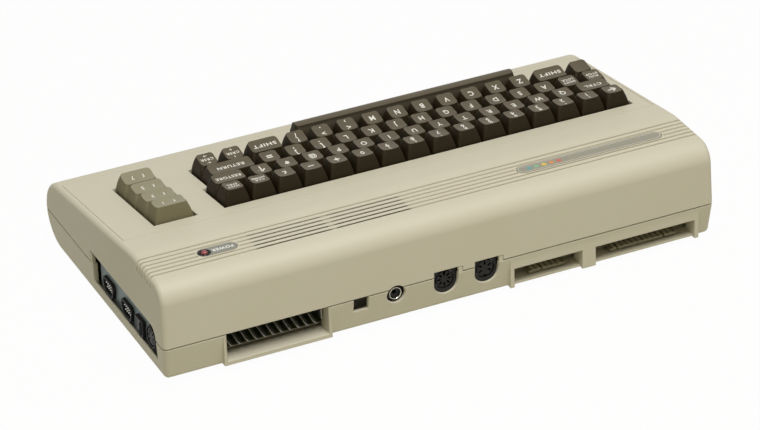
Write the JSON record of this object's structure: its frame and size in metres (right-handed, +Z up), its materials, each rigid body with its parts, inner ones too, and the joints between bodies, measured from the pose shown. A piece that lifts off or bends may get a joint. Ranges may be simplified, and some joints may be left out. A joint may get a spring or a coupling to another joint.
{
  "type": "vintage home computer",
  "caption": "Wedge-shaped beige home computer case with dark stepped keycaps, function keys, ribbed vent strip, rear bays and sockets, side ports and a rocker switch.",
  "frame": {"origin": "on the resting plane under the middle of the case", "axes": "+X to the user's right, +Y to the rear, +Z up"},
  "size_m": [0.404, 0.216, 0.082],
  "materials": {
    "beige_case": "fine spark-eroded texture",
    "dark_keys": "satin, doubleshot caps",
    "grey_keys": "satin, doubleshot caps",
    "black_plastic": "moulded",
    "red_lens": "clear red epoxy",
    "badge_aluminium": "printed grey",
    "tinned_steel": "bright tin",
    "zinc_plate": "passivated",
    "circuit_board": "solder resist"
  },
  "bodies": {
    "root": {"upper_case": "beige_case", "lower_case": "beige_case", "keyboard_frame": "dark_keys", "keyboard_board": "circuit_board", "main_board": "circuit_board", "side_plate": "zinc_plate", "joystick_port_1": "black_plastic", "joystick_port_2": "black_plastic", "power_switch": "black_plastic", "power_socket": "black_plastic", "video_socket": "black_plastic", "serial_socket": "black_plastic", "rf_modulator": "tinned_steel", "cartridge_connector": "black_plastic", "cartridge_shield": "tinned_steel", "power_led": "red_lens", "led_bezel": "black_plastic", "badge_plate": "badge_aluminium"},
    "key_arrow_left": {"key_arrow_left": "dark_keys"},
    "key_1": {"key_1": "dark_keys"},
    "key_2": {"key_2": "dark_keys"},
    "key_3": {"key_3": "dark_keys"},
    "key_4": {"key_4": "dark_keys"},
    "key_5": {"key_5": "dark_keys"},
    "key_6": {"key_6": "dark_keys"},
    "key_7": {"key_7": "dark_keys"},
    "key_8": {"key_8": "dark_keys"},
    "key_9": {"key_9": "dark_keys"},
    "key_0": {"key_0": "dark_keys"},
    "key_plus": {"key_plus": "dark_keys"},
    "key_minus": {"key_minus": "dark_keys"},
    "key_pound": {"key_pound": "dark_keys"},
    "key_home": {"key_home": "dark_keys"},
    "key_delete": {"key_delete": "dark_keys"},
    "key_control": {"key_control": "dark_keys"},
    "key_q": {"key_q": "dark_keys"},
    "key_w": {"key_w": "dark_keys"},
    "key_e": {"key_e": "dark_keys"},
    "key_r": {"key_r": "dark_keys"},
    "key_t": {"key_t": "dark_keys"},
    "key_y": {"key_y": "dark_keys"},
    "key_u": {"key_u": "dark_keys"},
    "key_i": {"key_i": "dark_keys"},
    "key_o": {"key_o": "dark_keys"},
    "key_p": {"key_p": "dark_keys"},
    "key_at": {"key_at": "dark_keys"},
    "key_star": {"key_star": "dark_keys"},
    "key_arrow_up": {"key_arrow_up": "dark_keys"},
    "key_restore": {"key_restore": "dark_keys"},
    "key_shift_lock": {"key_shift_lock": "dark_keys"},
    "key_return": {"key_return": "dark_keys"},
    "key_shift_left": {"key_shift_left": "dark_keys"},
    "key_shift_right": {"key_shift_right": "dark_keys"},
    "key_space": {"key_space": "dark_keys"},
    "key_f1": {"key_f1": "grey_keys"},
    "key_f3": {"key_f3": "grey_keys"},
    "key_f5": {"key_f5": "grey_keys"},
    "key_f7": {"key_f7": "grey_keys"},
    "power_rocker": {"power_rocker": "black_plastic"},
    "channel_slider": {"channel_slider": "black_plastic"}
  },
  "joints": [
    {"name": "key_arrow_left_press", "type": "slide", "parent": "root", "child": "key_arrow_left", "axis": [0, 0.1336, -0.991], "range_m": [0, 0.0038], "stiffness_N_per_m": 90, "springref_m": -0.003},
    {"name": "key_1_press", "type": "slide", "parent": "root", "child": "key_1", "axis": [0, 0.1336, -0.991], "range_m": [0, 0.0038], "stiffness_N_per_m": 90, "springref_m": -0.003},
    {"name": "key_2_press", "type": "slide", "parent": "root", "child": "key_2", "axis": [0, 0.1336, -0.991], "range_m": [0, 0.0038], "stiffness_N_per_m": 90, "springref_m": -0.003},
    {"name": "key_3_press", "type": "slide", "parent": "root", "child": "key_3", "axis": [0, 0.1336, -0.991], "range_m": [0, 0.0038], "stiffness_N_per_m": 90, "springref_m": -0.003},
    {"name": "key_4_press", "type": "slide", "parent": "root", "child": "key_4", "axis": [0, 0.1336, -0.991], "range_m": [0, 0.0038], "stiffness_N_per_m": 90, "springref_m": -0.003},
    {"name": "key_5_press", "type": "slide", "parent": "root", "child": "key_5", "axis": [0, 0.1336, -0.991], "range_m": [0, 0.0038], "stiffness_N_per_m": 90, "springref_m": -0.003},
    {"name": "key_6_press", "type": "slide", "parent": "root", "child": "key_6", "axis": [0, 0.1336, -0.991], "range_m": [0, 0.0038], "stiffness_N_per_m": 90, "springref_m": -0.003},
    {"name": "key_7_press", "type": "slide", "parent": "root", "child": "key_7", "axis": [0, 0.1336, -0.991], "range_m": [0, 0.0038], "stiffness_N_per_m": 90, "springref_m": -0.003},
    {"name": "key_8_press", "type": "slide", "parent": "root", "child": "key_8", "axis": [0, 0.1336, -0.991], "range_m": [0, 0.0038], "stiffness_N_per_m": 90, "springref_m": -0.003},
    {"name": "key_9_press", "type": "slide", "parent": "root", "child": "key_9", "axis": [0, 0.1336, -0.991], "range_m": [0, 0.0038], "stiffness_N_per_m": 90, "springref_m": -0.003},
    {"name": "key_0_press", "type": "slide", "parent": "root", "child": "key_0", "axis": [0, 0.1336, -0.991], "range_m": [0, 0.0038], "stiffness_N_per_m": 90, "springref_m": -0.003},
    {"name": "key_plus_press", "type": "slide", "parent": "root", "child": "key_plus", "axis": [0, 0.1336, -0.991], "range_m": [0, 0.0038], "stiffness_N_per_m": 90, "springref_m": -0.003},
    {"name": "key_minus_press", "type": "slide", "parent": "root", "child": "key_minus", "axis": [0, 0.1336, -0.991], "range_m": [0, 0.0038], "stiffness_N_per_m": 90, "springref_m": -0.003},
    {"name": "key_pound_press", "type": "slide", "parent": "root", "child": "key_pound", "axis": [0, 0.1336, -0.991], "range_m": [0, 0.0038], "stiffness_N_per_m": 90, "springref_m": -0.003},
    {"name": "key_home_press", "type": "slide", "parent": "root", "child": "key_home", "axis": [0, 0.1336, -0.991], "range_m": [0, 0.0038], "stiffness_N_per_m": 90, "springref_m": -0.003},
    {"name": "key_delete_press", "type": "slide", "parent": "root", "child": "key_delete", "axis": [0, 0.1336, -0.991], "range_m": [0, 0.0038], "stiffness_N_per_m": 90, "springref_m": -0.003},
    {"name": "key_control_press", "type": "slide", "parent": "root", "child": "key_control", "axis": [0, 0.1336, -0.991], "range_m": [0, 0.0038], "stiffness_N_per_m": 90, "springref_m": -0.003},
    {"name": "key_q_press", "type": "slide", "parent": "root", "child": "key_q", "axis": [0, 0.1336, -0.991], "range_m": [0, 0.0038], "stiffness_N_per_m": 90, "springref_m": -0.003},
    {"name": "key_w_press", "type": "slide", "parent": "root", "child": "key_w", "axis": [0, 0.1336, -0.991], "range_m": [0, 0.0038], "stiffness_N_per_m": 90, "springref_m": -0.003},
    {"name": "key_e_press", "type": "slide", "parent": "root", "child": "key_e", "axis": [0, 0.1336, -0.991], "range_m": [0, 0.0038], "stiffness_N_per_m": 90, "springref_m": -0.003},
    {"name": "key_r_press", "type": "slide", "parent": "root", "child": "key_r", "axis": [0, 0.1336, -0.991], "range_m": [0, 0.0038], "stiffness_N_per_m": 90, "springref_m": -0.003},
    {"name": "key_t_press", "type": "slide", "parent": "root", "child": "key_t", "axis": [0, 0.1336, -0.991], "range_m": [0, 0.0038], "stiffness_N_per_m": 90, "springref_m": -0.003},
    {"name": "key_y_press", "type": "slide", "parent": "root", "child": "key_y", "axis": [0, 0.1336, -0.991], "range_m": [0, 0.0038], "stiffness_N_per_m": 90, "springref_m": -0.003},
    {"name": "key_u_press", "type": "slide", "parent": "root", "child": "key_u", "axis": [0, 0.1336, -0.991], "range_m": [0, 0.0038], "stiffness_N_per_m": 90, "springref_m": -0.003},
    {"name": "key_i_press", "type": "slide", "parent": "root", "child": "key_i", "axis": [0, 0.1336, -0.991], "range_m": [0, 0.0038], "stiffness_N_per_m": 90, "springref_m": -0.003},
    {"name": "key_o_press", "type": "slide", "parent": "root", "child": "key_o", "axis": [0, 0.1336, -0.991], "range_m": [0, 0.0038], "stiffness_N_per_m": 90, "springref_m": -0.003},
    {"name": "key_p_press", "type": "slide", "parent": "root", "child": "key_p", "axis": [0, 0.1336, -0.991], "range_m": [0, 0.0038], "stiffness_N_per_m": 90, "springref_m": -0.003},
    {"name": "key_at_press", "type": "slide", "parent": "root", "child": "key_at", "axis": [0, 0.1336, -0.991], "range_m": [0, 0.0038], "stiffness_N_per_m": 90, "springref_m": -0.003},
    {"name": "key_star_press", "type": "slide", "parent": "root", "child": "key_star", "axis": [0, 0.1336, -0.991], "range_m": [0, 0.0038], "stiffness_N_per_m": 90, "springref_m": -0.003},
    {"name": "key_arrow_up_press", "type": "slide", "parent": "root", "child": "key_arrow_up", "axis": [0, 0.1336, -0.991], "range_m": [0, 0.0038], "stiffness_N_per_m": 90, "springref_m": -0.003},
    {"name": "key_restore_press", "type": "slide", "parent": "root", "child": "key_restore", "axis": [0, 0.1336, -0.991], "range_m": [0, 0.0038], "stiffness_N_per_m": 90, "springref_m": -0.003},
    {"name": "key_shift_lock_press", "type": "slide", "parent": "root", "child": "key_shift_lock", "axis": [0, 0.1336, -0.991], "range_m": [0, 0.0038]},
    {"name": "key_return_press", "type": "slide", "parent": "root", "child": "key_return", "axis": [0, 0.1336, -0.991], "range_m": [0, 0.0038], "stiffness_N_per_m": 90, "springref_m": -0.003},
    {"name": "key_shift_left_press", "type": "slide", "parent": "root", "child": "key_shift_left", "axis": [0, 0.1336, -0.991], "range_m": [0, 0.0038], "stiffness_N_per_m": 90, "springref_m": -0.003},
    {"name": "key_shift_right_press", "type": "slide", "parent": "root", "child": "key_shift_right", "axis": [0, 0.1336, -0.991], "range_m": [0, 0.0038], "stiffness_N_per_m": 90, "springref_m": -0.003},
    {"name": "key_space_press", "type": "slide", "parent": "root", "child": "key_space", "axis": [0, 0.1336, -0.991], "range_m": [0, 0.0038], "stiffness_N_per_m": 140, "springref_m": -0.003},
    {"name": "key_f1_press", "type": "slide", "parent": "root", "child": "key_f1", "axis": [0, 0.1336, -0.991], "range_m": [0, 0.0038], "stiffness_N_per_m": 90, "springref_m": -0.003},
    {"name": "key_f3_press", "type": "slide", "parent": "root", "child": "key_f3", "axis": [0, 0.1336, -0.991], "range_m": [0, 0.0038], "stiffness_N_per_m": 90, "springref_m": -0.003},
    {"name": "key_f5_press", "type": "slide", "parent": "root", "child": "key_f5", "axis": [0, 0.1336, -0.991], "range_m": [0, 0.0038], "stiffness_N_per_m": 90, "springref_m": -0.003},
    {"name": "key_f7_press", "type": "slide", "parent": "root", "child": "key_f7", "axis": [0, 0.1336, -0.991], "range_m": [0, 0.0038], "stiffness_N_per_m": 90, "springref_m": -0.003},
    {"name": "power_rocker_tilt", "type": "hinge", "parent": "root", "child": "power_rocker", "pos_m": [0.1976, 0.0595, 0.0233], "axis": [0, 0, 1], "range_deg": [0, 16]},
    {"name": "channel_slider_slide", "type": "slide", "parent": "root", "child": "channel_slider", "axis": [-1, 0, 0], "range_m": [0, 0.0036]}
  ]
}
